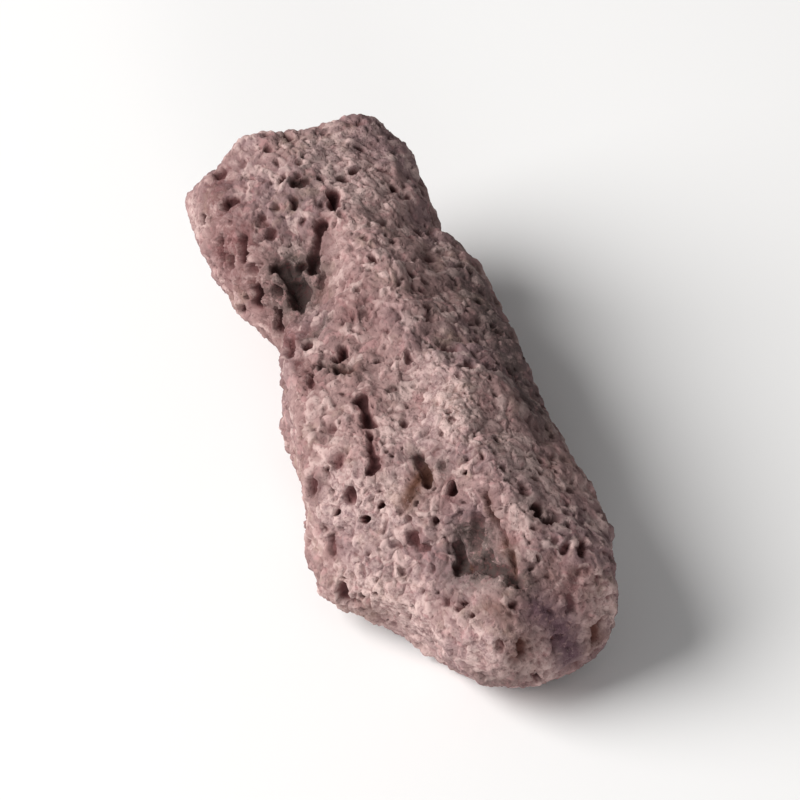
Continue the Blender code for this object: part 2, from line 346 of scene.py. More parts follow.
# %% The list of pits
# Each row: a slot from one point to another, its radius and its depth.
PITS = [
    ("far pit", (-1.3, 24.6, 13.3), (-1.9, 22.4, 13.2), 0.90, 2.6),
    ("far pit, tail", (-1.4, 21.0, 13.2), (-1.1, 20.4, 13.3), 0.50, 0.7),
    ("far slot", (-5.4, 27.9, 13.4), (-3.8, 27.3, 13.4), 0.70, 1.4),
    ("far slot, lower", (-6.0, 26.0, 12.7), (-6.2, 25.0, 12.5), 0.65, 1.4),
    ("far left slot", (-14.1, 29.5, 10.5), (-12.7, 29.2, 11.1), 0.85, 1.6),
    ("far corner pit", (-13.0, 35.7, 9.8), (-12.7, 35.5, 10.0), 0.65, 1.0),
    ("far back pit", (-6.9, 34.8, 13.4), (-6.7, 34.6, 13.4), 0.60, 0.8),
    ("pit right of the far pit", (0.8, 27.0, 12.7), (0.9, 26.8, 12.7), 0.65, 1.2),
    ("gully", (-3.9, 21.0, 12.1), (-6.1, 17.0, 9.2), 0.75, 1.2),
    ("gully, head", (-4.0, 20.8, 12.0), (-4.4, 20.0, 11.5), 0.85, 2.0),
    ("gully, low", (-5.9, 17.4, 9.5), (-6.1, 16.8, 9.2), 1.00, 2.0),
    ("ring pit", (-8.4, 26.0, 11.8), (-8.5, 25.8, 11.8), 0.60, 0.7),
    ("pit left of the hollow", (-12.9, 20.8, 7.2), (-12.9, 20.5, 7.0), 0.80, 0.9),
    ("pit by the left slot", (-14.8, 23.8, 6.2), (-14.9, 23.5, 5.6), 0.70, 0.9),
    ("gully, foot", (-5.4, 15.0, 9.2), (-6.1, 14.2, 8.9), 0.80, 0.9),
    ("red pit", (-5.7, 22.6, 11.8), (-5.9, 22.4, 11.7), 0.60, 0.8),
    ("pit left of the gully", (-9.7, 22.8, 10.4), (-9.8, 22.5, 10.3), 0.70, 0.9),
    ("left slot", (-13.0, 24.0, 9.6), (-13.5, 22.2, 7.4), 0.65, 1.3),
    ("left pit", (-15.3, 26.7, 7.0), (-15.6, 25.5, 5.6), 0.95, 1.4),
    ("left edge pit", (-15.9, 30.3, 7.5), (-15.9, 29.9, 7.5), 0.60, 0.8),
    ("hollow, deepest", (-8.6, 15.6, 7.9), (-9.0, 13.8, 7.3), 1.50, 2.2),
    ("hollow, top", (-9.0, 18.0, 8.5), (-10.4, 18.6, 8.4), 1.05, 2.0),
    ("hollow, left", (-11.4, 16.4, 7.2), (-11.4, 15.8, 6.6), 0.85, 1.6),
    ("hollow, middle", (-7.6, 17.6, 8.8), (-8.2, 17.2, 8.6), 0.85, 1.6),
    ("low pit", (-12.9, 18.9, 5.0), (-13.0, 18.4, 3.2), 1.05, 2.4),
    ("waist pit", (-11.2, 14.9, 3.8), (-11.4, 14.3, 2.2), 1.10, 2.0),
    ("waist groove", (-12.5, 5.9, 8.0), (-13.1, 4.0, 8.2), 0.90, 1.4),
    ("waist nick", (-10.3, 4.8, 10.0), (-9.4, 4.4, 10.3), 0.50, 0.8),
    ("pit by the waist", (-7.4, 0.2, 10.9), (-7.7, -0.9, 10.7), 0.80, 1.7),
    ("pit below it", (-8.8, -2.8, 10.7), (-7.5, -4.2, 11.2), 0.75, 1.6),
    ("between the two", (-10.3, -1.6, 10.2), (-9.0, -2.6, 10.6), 0.50, 0.9),
    ("pit left of it", (-10.5, -1.0, 10.2), (-10.5, -1.4, 10.2), 0.70, 1.3),
    ("red crack", (-12.0, -1.5, 9.6), (-12.6, -3.5, 9.5), 0.50, 1.1),
    ("ridge pit", (4.3, -4.7, 12.1), (5.5, -4.8, 11.8), 0.65, 0.8),
    ("ridge slot", (-0.4, -4.5, 12.9), (-0.6, -5.4, 12.4), 0.50, 0.8),
    ("pit right of the slit", (-3.9, -9.0, 11.7), (-3.2, -9.4, 11.9), 0.60, 0.7),
    ("pit below that", (-4.0, -14.3, 10.9), (-3.9, -14.5, 10.9), 0.60, 0.8),
    ("slit, wide end", (-7.6, -8.9, 10.8), (-7.9, -12.8, 10.7), 0.85, 1.6),
    ("slit, narrow end", (-8.4, -14.4, 10.6), (-8.9, -18.7, 8.9), 0.60, 1.4),
    ("slit, foot", (-8.8, -18.0, 9.2), (-9.4, -18.8, 8.8), 0.75, 1.2),
    ("grey pit", (-1.6, -22.7, 10.9), (-1.6, -23.1, 10.9), 0.70, 0.7),
    ("brown pit", (-3.9, -20.1, 10.6), (-3.6, -23.4, 9.3), 0.75, 1.5),
    ("pit beside it", (-1.2, -25.5, 10.0), (-1.3, -26.0, 9.5), 0.62, 1.7),
    ("short nick", (2.0, -28.6, 10.8), (1.8, -29.6, 10.1), 0.45, 0.9),
    ("brown crack", (1.9, -30.2, 9.9), (2.6, -32.0, 8.7), 0.45, 1.0),
    ("brown crack, middle", (2.6, -32.0, 8.7), (2.9, -34.3, 7.2), 0.40, 0.8),
    ("brown crack, foot", (3.0, -35.6, 7.0), (2.9, -37.2, 6.6), 0.50, 0.9),
    ("end hollow, foot", (-2.5, -32.4, 3.5), (2.6, -37.8, 6.4), 0.90, 1.3),
    ("end hollow, top", (0.7, -30.2, 7.9), (-0.3, -31.2, 5.3), 1.10, 0.8),
    ("end hollow, left", (-1.7, -30.6, 4.3), (-2.5, -33.2, 3.2), 0.90, 1.1),
    ("end hollow, floor", (0.8, -33.8, 5.5), (0.3, -34.6, 5.2), 0.90, 0.9),
    ("end hollow, right", (2.2, -38.4, 6.2), (2.9, -39.8, 6.1), 0.95, 2.0),
    ("left end pit", (-6.7, -27.3, 4.6), (-6.7, -27.9, 4.2), 0.75, 1.0),
    ("left end dot", (-8.7, -29.1, 1.2), (-8.7, -29.3, 1.0), 0.55, 0.7),
    ("pit under the shoulder", (6.8, -28.8, 10.4), (6.8, -29.2, 10.3), 0.70, 0.8),
    ("right pit", (8.0, -31.0, 9.2), (7.6, -32.4, 8.9), 0.70, 1.7),
    ("right pit, lower", (8.6, -33.3, 8.7), (9.7, -33.2, 8.4), 0.80, 1.5),
    ("right pit, left", (6.7, -34.1, 9.0), (6.6, -34.3, 9.0), 0.50, 0.7),
    ("right pit, low", (8.6, -35.9, 7.9), (8.5, -36.1, 7.8), 0.60, 0.8),
    ("right edge pit", (12.1, -36.0, 7.1), (11.5, -37.8, 6.7), 0.75, 1.5),
    ("right end pit", (8.9, -41.6, 2.9), (8.9, -42.1, 2.2), 0.75, 0.9),
    ("right end pit, upper", (9.9, -40.2, 4.9), (9.9, -40.4, 4.7), 0.65, 0.8),
    ("pink pit", (-5.2, -36.1, 1.7), (-5.2, -36.3, 1.5), 0.65, 0.7),
    ("left side pit", (-15.9, -15.2, 5.0), (-16.1, -15.9, 3.9), 0.70, 1.0),
    ("left side slot", (-14.9, -20.6, 0.3), (-15.3, -21.9, -0.8), 0.60, 0.9),
    ("left side dot", (-12.7, -26.5, -0.2), (-12.7, -26.7, -0.4), 0.55, 0.7),
    ("left low pit", (-15.2, -25.6, -3.5), (-15.3, -25.9, -5.4), 0.80, 1.5),
    ("toe pit", (1.8, -44.4, -0.3), (1.7, -44.8, -1.3), 0.85, 1.3),
    ("toe pit, right", (12.0, -42.7, -2.5), (12.0, -42.9, -4.0), 0.85, 1.3),
]


def away_from(p, start, end):
    """Distance of each point from the straight line between two points."""
    start, end = np.array(start), np.array(end)
    along = np.clip((p - start) @ (end - start) / ((end - start) @ (end - start)), 0, 1)
    return np.linalg.norm(p - start - along[:, None] * (end - start), axis=1)


RAGGED = 0.33       # how far a pit's radius swells and shrinks, as a share of it
RAGGED_SIZE = 0.9   # the length over which it does


def pits(p):
    """Depth of the placed pits: a half circle in section, whose radius swells and shrinks by a third.

    The depth is that of the deepest pit at each point: its full depth times the square root of one less the
    square of the distance from its line, measured in radii.
    """
    depth = np.zeros(len(p))
    uneven = 1 + RAGGED * noise(p, RAGGED_SIZE, 41)
    for _, start, end, radius, deep in PITS:
        away = away_from(p, start, end) / (radius * uneven)
        depth = np.maximum(depth, deep * np.sqrt(np.clip(1 - away ** 2, 0, None)))
    return depth


print("placed lumps and hollows:", len(RELIEF), "placed pits:", len(PITS))


# %% [markdown]
# ## Stains, painted shade and painted light that have a place
#
# The stone isn't all one colour. A grey-olive painted shade fills the hollow by the waist and the one at the
# near end, and darkens many pits, the right slope and the bottom rim. The left side and many pits are maroon,
# and a weak maroon along the left rim is painted shade. A band at the toe is plum, a few pits are ochre, and
# the crest and the near end are dusty and pale, though the pale on the near left side and at the toe is
# painted light. A stain is a bell curve round a short line, listed with its reach and its strength. The
# finish breaks its edge up with noise.

# %% The list of stains
# Each row: a line from one point to another, the reach of the stain round it and its strength.
STAINS = {
    # Painted shade, grey-olive: the hollows, many pits, the right slope and the bottom rim.
    "painted_shade": [
        ("dark hollow", (-8.8, 18.0, 8.6), (-9.2, 14.0, 7.4), 2.7, 1.0),
        ("dark hollow, left", (-11.4, 16.6, 7.0), (-11.6, 14.8, 5.0), 1.8, 0.8),
        ("dark hollow, right", (-6.3, 17.0, 9.2), (-5.8, 14.6, 9.0), 1.3, 0.7),
        ("end hollow", (-0.5, -29.9, 5.6), (-2.6, -33.6, 3.2), 1.8, 1.0),
        ("end hollow, middle", (0.6, -31.5, 6.0), (-0.9, -35.2, 4.3), 2.0, 1.0),
        ("end hollow, right", (0.8, -34.0, 5.4), (2.6, -39.4, 6.1), 1.7, 1.0),
        ("pits by the waist", (-10.6, -1.0, 10.2), (-7.5, -4.2, 11.2), 0.8, 0.8),
        ("far slot", (-5.4, 28.0, 13.4), (-4.0, 27.4, 13.4), 0.8, 0.7),
        ("far slot, lower", (-5.7, 26.0, 12.8), (-6.1, 24.9, 12.5), 0.8, 0.7),
        # Painted shade down the right slope, darker than the lamps leave it.
        ("right slope", (12.5, 9.0, 8.8), (13.4, -14.0, 7.6), 2.8, 0.8),
        ("brown pit", (-3.9, -20.1, 10.6), (-3.7, -22.4, 9.7), 0.9, 0.7),
        ("grey pit", (-1.6, -22.7, 10.9), (-1.6, -23.1, 10.9), 1.0, 0.8),
        ("waist nick", (-10.3, 4.8, 10.0), (-8.0, 6.1, 10.0), 0.9, 0.7),
        ("ridge", (7.4, 3.7, 10.9), (7.4, 3.3, 10.9), 1.2, 0.6),
        ("pit right of the slit", (-3.9, -9.0, 11.7), (-3.2, -9.4, 11.9), 0.9, 0.6),
        ("bottom rim", (-2.3, -43.5, -5.7), (0.5, -44.6, -5.6), 1.5, 0.6),
        ("right pits", (8.0, -31.4, 9.1), (9.4, -33.2, 8.5), 1.0, 0.5),
    ],
    "maroon": [
        ("far left", (-14.5, 29.2, 9.5), (-12.8, 28.6, 11.0), 1.2, 0.8),
        ("far left, upper", (-13.0, 35.0, 9.8), (-14.5, 31.0, 9.5), 2.3, 0.75),
        ("left side", (-13.4, 24.0, 9.0), (-15.2, 25.8, 6.0), 2.5, 0.9),
        ("left side, low", (-14.5, 23.0, 4.5), (-12.0, 17.0, 5.0), 2.4, 0.7),
        ("below the hollow", (-12.9, 19.0, 5.0), (-11.4, 14.6, 2.8), 1.6, 0.8),
        ("waist", (-12.0, 11.0, 4.0), (-11.9, 6.0, 8.4), 1.9, 0.85),
        ("gully", (-3.9, 21.0, 12.1), (-5.6, 18.0, 9.9), 1.2, 0.7),
        ("red crack", (-13.0, 1.5, 9.1), (-12.6, -3.5, 9.5), 0.8, 0.9),
        ("ridge by the waist", (-4.8, 9.1, 11.8), (-4.0, 4.0, 12.2), 2.4, 0.4),
        # Painted shade: a weak maroon along the left rim.
        ("left rim", (-14.6, -4.0, 8.2), (-16.0, -12.0, 5.6), 1.6, 0.35),
        ("slit", (-7.6, -8.4, 10.8), (-8.9, -18.7, 8.9), 0.8, 0.9),
        ("left side pit", (-15.9, -15.2, 5.0), (-16.1, -15.9, 3.9), 1.1, 0.7),
        ("left side slot", (-14.9, -20.6, 0.3), (-15.3, -21.9, -0.8), 0.9, 0.6),
        ("left end pit", (-6.7, -27.3, 4.6), (-6.7, -27.9, 4.2), 0.8, 0.85),
        ("pink pit", (-5.2, -36.1, 1.7), (-5.2, -36.3, 1.5), 1.3, 0.6),
        ("right end", (8.9, -41.6, 2.9), (9.9, -40.2, 4.9), 1.2, 0.7),
        ("pit beside the brown one", (-1.3, -25.4, 10.0), (-1.5, -26.5, 8.8), 0.9, 0.8),
    ],
    "plum": [
        ("band at the toe", (4.6, -41.8, 3.5), (6.9, -42.9, 0.6), 1.5, 0.95),
        ("band at the toe, lower", (6.9, -42.9, 0.6), (8.4, -43.6, -5.2), 1.6, 1.0),
        ("ridge, near the waist", (-0.5, 2.0, 13.0), (1.0, -4.0, 13.0), 1.6, 0.3),
        ("end hollow, above", (-2.0, -28.5, 8.0), (1.5, -29.5, 9.8), 1.3, 0.5),
    ],
    "ochre": [
        ("brown patch", (-4.2, -22.0, 9.6), (-6.4, -24.2, 7.6), 1.0, 1.0),
        ("patch by the gully", (-6.1, 12.8, 8.5), (-6.1, 12.4, 8.5), 1.2, 0.4),
        ("patch by the waist", (-8.6, -3.2, 10.7), (-7.4, -4.3, 11.2), 1.0, 0.4),
        ("brown crack", (2.0, -28.6, 10.8), (2.6, -32.0, 8.7), 0.45, 0.6),
        ("brown crack, foot", (2.9, -34.3, 7.2), (2.9, -37.2, 6.6), 0.6, 0.6),
        ("right end", (7.7, -37.8, 6.6), (7.0, -39.3, 5.6), 0.8, 0.35),
        ("lip", (-1.2, -40.8, 3.8), (0.6, -42.2, 3.2), 1.2, 0.6),
        ("toe", (1.8, -44.4, -0.3), (1.7, -44.8, -1.3), 1.2, 0.7),
        ("toe, right", (12.0, -42.7, -2.5), (12.0, -42.9, -4.0), 1.2, 0.7),
        ("left low pit", (-12.9, -27.9, -5.2), (-12.9, -28.1, -5.3), 1.1, 0.5),
    ],
    "pale": [
        ("left edge", (-16.5, 36.0, 5.0), (-16.8, 31.5, 4.8), 1.4, 0.8),
        ("waist", (-11.1, 3.8, 9.7), (-11.1, 3.2, 9.7), 1.2, 0.7),
        ("ridge", (-2.5, 18.8, 12.4), (-3.4, 13.2, 11.9), 1.2, 0.25),
        ("far right top", (0.5, 31.5, 13.4), (3.0, 24.0, 13.0), 3.2, 0.55),
        ("left rim", (-13.9, 0.5, 8.6), (-15.8, -9.0, 5.4), 1.3, 0.25),
        ("knob", (2.5, -13.0, 13.2), (1.8, -18.5, 13.2), 2.4, 0.95),
        ("right of the ridge", (5.6, -23.5, 11.8), (9.5, -27.0, 9.3), 2.6, 0.5),
        ("ridge, middle", (-0.3, -5.8, 12.4), (2.0, -10.0, 13.0), 1.6, 0.5),
        ("lip of the end hollow", (-4.6, -34.5, 2.6), (0.8, -37.9, 5.3), 0.9, 0.7),
        # Painted light: pale that brightens the near left side and its low part, which the lamps leave dim.
        ("near left", (-13.0, -18.0, 5.0), (-8.0, -23.6, 7.0), 3.4, 0.8),
        ("near left, low", (-12.0, -27.5, -3.0), (-8.5, -34.0, -4.0), 3.6, 0.9),
        ("right of the slit", (-6.0, -14.0, 10.9), (-2.5, -18.0, 11.5), 2.2, 0.5),
        ("near right", (6.4, -30.6, 9.8), (5.4, -34.5, 8.6), 0.9, 0.7),
        # Painted light: pale that brightens the toe, whose faces the lamps leave in shade.
        ("toe", (-2.0, -42.0, -1.0), (6.0, -44.0, -4.0), 2.8, 0.65),
        ("toe, right", (11.0, -43.0, -4.5), (13.5, -41.0, 0.5), 2.0, 0.8),
        ("near toe", (-3.2, -38.6, 2.7), (-4.4, -41.0, 0.4), 1.8, 0.4),
    ],
}


def stain(p, kind):
    """How strong one kind of stain is at each point, from 0 to 1: bell curves round short lines."""
    strength = np.zeros(len(p))
    for _, start, end, reach, most in STAINS[kind]:
        strength = np.maximum(strength, most * np.exp(-0.5 * (away_from(p, start, end) / reach) ** 2))
    return strength


print("stains:", {kind: len(rows) for kind, rows in STAINS.items()})


# %% [markdown]
# ## Bubbles
#
# The rock froze as a froth, so its skin is full of bubbles that broke open. Space is cut into cells, a share
# of the cells holds one round bubble, and where the skin runs through a bubble it drops to the bubble's far
# wall. The largest size is also in the solid. Two finer sizes are added here, down to pores of about half a
# millimetre, and one more each for the steep sides and for what faces right. The places are warped a little
# first, so that no bubble is a perfect circle.

# %% Bubbles cut open by the skin
# Each row: the width of a cell, the smallest and the largest radius, the share of the cells that hold a
# bubble, a number for the dice, and how much of the depth is open.
BUBBLES = [
    (4.4, 0.60, 1.25, 0.45, 11, 0.8),
    (2.1, 0.38, 0.90, 0.75, 31, 0.95),
    (1.15, 0.24, 0.52, 0.60, 61, 0.7),
]
SIDE_BUBBLES = (3.3, 0.60, 1.45, 0.90, 101, 0.9)
RIGHT_BUBBLES = (2.3, 0.45, 0.85, 0.95, 131, 0.9)
SMALL_OFTEN = 1.6   # above 1, small bubbles are more common than large ones


def bubbles(p, d, spacing, smallest, largest, share, seed, fill):
    """Depth, along -d, of the far wall of the bubble that holds each point, or 0 outside all bubbles.

    A bubble's middle is a random place in its cell. Its far wall lies as far below the point as its middle
    does, plus half its chord, and the chord comes from Pythagoras. Dust fills the smaller ones in part, so
    the depth is multiplied by what is left of it.
    """
    home = np.floor(p / spacing)
    depth = np.zeros(len(p))
    for corner in np.ndindex(3, 3, 3):
        cell = home + corner - 1
        middle = (cell + np.stack([dice(cell, seed + k) for k in range(3)], axis=1)) * spacing
        radius = smallest + (largest - smallest) * dice(cell, seed + 3) ** SMALL_OFTEN
        radius = np.where(dice(cell, seed + 4) < share, radius, 0)
        gap = middle - p
        down = -(gap * d).sum(axis=1)
        far = (gap ** 2).sum(axis=1)
        wall = down + np.sqrt(np.clip(radius ** 2 - far + down ** 2, 0, None))
        depth = np.maximum(depth, np.where(far < radius ** 2, wall, 0))
    return depth * fill


for layer in [*BUBBLES, SIDE_BUBBLES, RIGHT_BUBBLES]:
    tell(f"bubbles in cells of {layer[0]} mm, share of the form inside one",
         (bubbles(form, few, *layer) > 0).mean())


# %% [markdown]
# ## Crumbs
#
# Between the bubbles the rock is a mass of rough crumbs, a millimetre or two wide, and each has a tone of
# its own. Space is shared out among random points, one in every cell, and each point of the skin belongs to
# the nearest one. A crease runs where two crumbs meet.

# %% Crumbs
CRUMBS = [(1.75, 0.36, 51), (0.95, 0.19, 54)]   # width, height, number for the dice
CREASE = 0.55       # how far a crumb's rounded edge reaches inwards, in widths of a crumb
OUT_OF_REACH = 9.0  # further than any crumb, in the same measure
KEPT_OFF = 0.1      # how far a crumb's middle stays off the walls of its cell, in the same measure


def crumbs(p, size, seed):
    """Each point's place on its crumb, 0 in the crease to the next and 1 on top, and the crumb's own tone.

    Every cell of space holds one random point, and a crumb is all that is nearer to it than to any other.
    The crease is where the nearest and the second nearest are equally far, so their difference, as a
    quarter circle, is the height. The tone is a random number from 0 to 1, drawn once for each crumb.
    """
    home = np.floor(p / size)
    nearest = np.full(len(p), OUT_OF_REACH)
    second = np.full(len(p), OUT_OF_REACH)
    tone = np.zeros(len(p))
    for corner in np.ndindex(3, 3, 3):
        cell = home + corner - 1
        spot = np.stack([dice(cell, seed + k) for k in range(3)], axis=1)
        middle = cell + KEPT_OFF + (1 - 2 * KEPT_OFF) * spot
        far = np.linalg.norm(middle - p / size, axis=1)
        second = np.minimum(second, np.maximum(nearest, far))
        tone = np.where(far < nearest, dice(cell, seed + 9), tone)
        nearest = np.minimum(nearest, far)
    inward = np.clip((second - nearest) / CREASE, 0, 1)
    return np.sqrt(1 - (1 - inward) ** 2), tone


for size, height, seed in CRUMBS:
    tell(f"crumbs {size} mm wide, mean place from crease to top", crumbs(form, size, seed)[0].mean())


# %% [markdown]
# ## The whole skin
#
# Form, lumps, pits, bubbles and crumbs are put together, and a fine grain goes on last. Pits go in and crumbs
# stand out at right angles to the skin, so the steep sides get as many as the top. The list names few pits
# on the steep sides and none underneath, so bubbles of one more size make up for them there. What faces right
# has flatter crumbs and more small bubbles. Close to the table the skin is worn smooth, and it ends flat.
# What each point knows of its pit, its crumb and its stains is kept for the finish.

# %% Straying points, and the way out of the skin
WIDE_STRAY = (3.0, 0.5, 81)     # width, distance, number for the dice
FINE_STRAY = (1.2, 0.4, 91)
PIT_STRAY = (1.2, 0.2, 95)


def strayed(p, size, far, seed):
    """The points moved by up to far along X, Y and Z.

    Each of the three has a noise of its own, which changes over a distance of one size.
    """
    return p + far * np.stack([noise(p, size, seed + k) for k in range(3)], axis=1)


def upright(p, quads):
    """Directions straight out of the skin.

    The cross products of each square's diagonals are added up at its corners and brought to length 1.
    """
    across = np.cross(p[quads[:, 2]] - p[quads[:, 0]], p[quads[:, 3]] - p[quads[:, 1]])
    return unit(np.stack([sum(np.bincount(quads[:, k], across[:, axis], len(p)) for k in range(4))
                          for axis in range(3)], axis=1))


tell("a point strays by at most (mm)", np.abs(strayed(form, *WIDE_STRAY) - form).max())

# %% The stone as a function of direction
GRAIN = [(2.4, 0.30, 70), (1.3, 0.15, 71), (0.65, 0.10, 72)]    # width, height, number for the dice
STEEP_FROM = 0.35       # the upward part of the way out, below which the sides' bubbles begin
STEEP_OVER = 0.3
RIGHT_FROM = 0.3        # the rightward part of the way out, above which the right's bubbles begin
RIGHT_OVER = 0.25
RIGHT_FLATTER = 0.5     # how much flatter the crumbs are on the right
CRUMB_LEVEL = 0.7       # the height on a crumb that lies in the skin of the bare form
WORN_OVER = 1.2         # height over which the roughness fades in above the table


def stone(d, quads):
    """Points of the stone for directions d, and what the finish needs to know at each of them.

    The point is the facet point, moved along d by the relief. From there it moves straight in by the deepest
    pit or bubble, and straight out by the crumbs and three layers of fine noise. Both fade out over the last
    millimetre or so above the resting level, and nothing goes below it.
    """
    p = facets(d)
    p = p + d * relief(p)[:, None]
    out = upright(p, quads)
    warped = strayed(strayed(p, *WIDE_STRAY), *FINE_STRAY)
    known = {kind: stain(warped, kind) for kind in STAINS}
    depth = pits(strayed(p, *PIT_STRAY))
    for layer in BUBBLES:
        depth = np.maximum(depth, bubbles(warped, out, *layer))
    side = np.clip((STEEP_FROM - out[:, 2]) / STEEP_OVER, 0, 1)
    depth = np.maximum(depth, side * bubbles(warped, out, *SIDE_BUBBLES))
    right = np.clip((out[:, 0] - RIGHT_FROM) / RIGHT_OVER, 0, 1)
    depth = np.maximum(depth, right * bubbles(warped, out, *RIGHT_BUBBLES))
    grain = sum(height * noise(p, size, seed) for size, height, seed in GRAIN)
    known["crumb_top"] = 0
    known["crumb_tone"] = 0
    for size, height, seed in CRUMBS:
        top, tone = crumbs(warped, size, seed)
        top = top + RIGHT_FLATTER * right * (1 - top)
        grain = grain + height * (top - CRUMB_LEVEL)
        known["crumb_top"] = known["crumb_top"] + top / len(CRUMBS)
        known["crumb_tone"] = known["crumb_tone"] + tone / len(CRUMBS)
        known["crumb_hue"] = tone   # in the end that of the smallest crumbs
    rough = np.clip((p[:, 2] - REST_LEVEL) / WORN_OVER, 0, 1)
    p = p + out * (rough * (grain - depth))[:, None]
    p[:, 2] = np.maximum(p[:, 2], REST_LEVEL)
    known["pit_depth"] = depth
    return p, known


skin, known = stone(directions, quads)
tell("skin, from and to (mm)", [skin.min(axis=0), skin.max(axis=0)])
tell("share of the skin in a pit", (known["pit_depth"] > 0).mean())

# %% [markdown]
# ## From arrays to a mesh
#
# Blender takes whole arrays: the places of the points, then four point numbers for each quad. What the skin
# knows goes along as point attributes.

# %% Make the mesh
def mesh_of(name, points, quads):
    """A mesh with these points, joined by these quads."""
    mesh = bpy.data.meshes.new(name)
    mesh.vertices.add(len(points))
    mesh.vertices.foreach_set("co", points.astype(np.float32).ravel())
    mesh.loops.add(quads.size)
    mesh.loops.foreach_set("vertex_index", quads.astype(np.int32).ravel())
    mesh.polygons.add(len(quads))
    mesh.polygons.foreach_set("loop_start", np.arange(0, quads.size, 4, dtype=np.int32))
    mesh.update(calc_edges=True)
    return mesh


rock_mesh = mesh_of("scoria_stone", (skin + MIDDLE) * MM, quads)
for name, values in known.items():
    rock_mesh.attributes.new(name, "FLOAT", "POINT").data.foreach_set("value", values.astype(np.float32))
rock = bpy.data.objects.new("scoria_stone", rock_mesh)
bpy.context.scene.collection.objects.link(rock)
print("points:", len(rock_mesh.vertices), "quads:", len(rock_mesh.polygons))

# %% [markdown]
# ## Fewer triangles
#
# The grid is much finer than the finished piece may be. A Decimate modifier takes triangles out where the
# skin is plain and keeps them at the rims of pits. It blends the point attributes as it merges points. The
# merged points can lie a hair below the table, so they are lifted onto it.

# %% Thin the mesh
TRIANGLES = 196000
thin = rock.modifiers.new("fewer triangles", "DECIMATE")
thin.ratio = min(1.0, TRIANGLES / (2 * len(quads)))
bpy.context.view_layer.update()
thinned = bpy.data.meshes.new_from_object(rock.evaluated_get(bpy.context.evaluated_depsgraph_get()))
rock.modifiers.clear()
rock.data = thinned
bpy.data.meshes.remove(rock_mesh)
coordinates = np.empty(3 * len(thinned.vertices), np.float32)
thinned.vertices.foreach_get("co", coordinates)
coordinates[2::3] = np.maximum(coordinates[2::3], 0)
thinned.vertices.foreach_set("co", coordinates)
rock.data.name = "scoria_stone"
rock.data.shade_smooth()
print("faces:", len(thinned.polygons), "triangles:", len(thinned.loops) - 2 * len(thinned.polygons))

# %% [markdown]
# ## Formulas for shaders
#
# A finish is a formula, so it should read like one. This small class wraps a socket, and the difference or
# product of two of them adds the Math node. Everything else goes through one method that takes the kind of
# node, its settings and its inputs.

# %% The wrapper
class Wire:
    """An output of a node in a finish. Arithmetic on wires adds Math nodes."""

    def __init__(self, tree, socket):
        self.tree = tree
        self.socket = socket

    def node(self, kind, settings, inputs, output=0):
        """Adds a node of this kind: first its settings, then a value or a link for each of its inputs."""
        new = self.tree.nodes.new(kind)
        for name, value in settings.items():
            setattr(new, name, value)
        for name, value in inputs.items():
            if isinstance(value, Wire):
                self.tree.links.new(value.socket, new.inputs[name])
            else:
                new.inputs[name].default_value = value
        return Wire(self.tree, new.outputs[output])

    def math(self, operation, first, second):
        """Adds a Math node for one operation on two wires or numbers."""
        return self.node("ShaderNodeMath", {"operation": operation}, {0: first, 1: second})

    def __sub__(self, other):
        return self.math("SUBTRACT", self, other)

    def __rsub__(self, other):
        return self.math("SUBTRACT", other, self)

    def __mul__(self, other):
        return self.math("MULTIPLY", self, other)

    def __rmul__(self, other):
        return self.math("MULTIPLY", other, self)

    def ease(self, start, end):
        """0 before start, 1 after end, and a smooth step between. With start above end it falls instead."""
        low, high = min(start, end), max(start, end)
        rising = {0: self, 1: low, 2: high, 3: 0.0, 4: 1.0}
        falling = {0: self, 1: low, 2: high, 3: 1.0, 4: 0.0}
        return self.node("ShaderNodeMapRange", {"interpolation_type": "SMOOTHSTEP"},
                         rising if start < end else falling)

    def mixed(self, first, second):
        """This wire from 0 to 1 as the share of the second colour."""
        return self.node("ShaderNodeMix", {"data_type": "RGBA"},
                         {"Factor": self, 6: first, 7: second}, output=2)


# %% [markdown]
# ## The colours of red scoria
#
# Iron in the froth has rusted to a dusty brown-pink. The ground is rose, mauve-grey, tan and pink, with pale
# dust on what stands out and dusk from crumb to crumb. Dusk in the smallest pores and maroon in the creases
# are painted shade; maroon in the pits is partly the rock's red and partly painted shade, and a darker
# painted shade sits at their bottoms. A grey-olive painted shade fills the hollows, and some pale is painted
# light.
# Colours are written as a screen shows them and turned into the linear values that shaders reckon with.

# %% Colours
def color(red, green, blue):
    """A colour as a screen shows it, from 0 to 255, in the linear values that shaders use.

    The curve between them is a straight line for the darkest values and a power of 2.4 above.
    """
    screen = np.array([red, green, blue]) / 255
    linear = np.where(screen <= 0.04045, screen / 12.92, ((screen + 0.055) / 1.055) ** 2.4)
    return (*linear.tolist(), 1.0)


ROSE = color(152, 123, 120)
MAUVE = color(133, 108, 109)
TAN = color(150, 126, 117)
PINK = color(160, 118, 118)
PALE = color(194, 169, 164)
DUSK = color(106, 80, 79)
MAROON = color(98, 60, 60)
# Painted shade for the bottoms of pits.
PAINTED_PIT_SHADE = color(76, 50, 50)
# Grey-olive painted shade for the hollows, pits, the right slope and the bottom rim.
PAINTED_SHADE = color(66, 57, 54)
PLUM = color(88, 64, 72)
OCHRE = color(84, 52, 40)
tell("rose in linear values", ROSE)

# %% [markdown]
# ## Patterns to mix them by
#
# Noise of three widths varies the colour over centimetres, over millimetres and from grain to grain. The
# smallest pores are a cell pattern whose places stray a little, so that they aren't round. Patterns are
# measured in millimetres on the stone itself, so they stay put when it moves. The rest is what the skin knows
# of its pits, crumbs and stains.

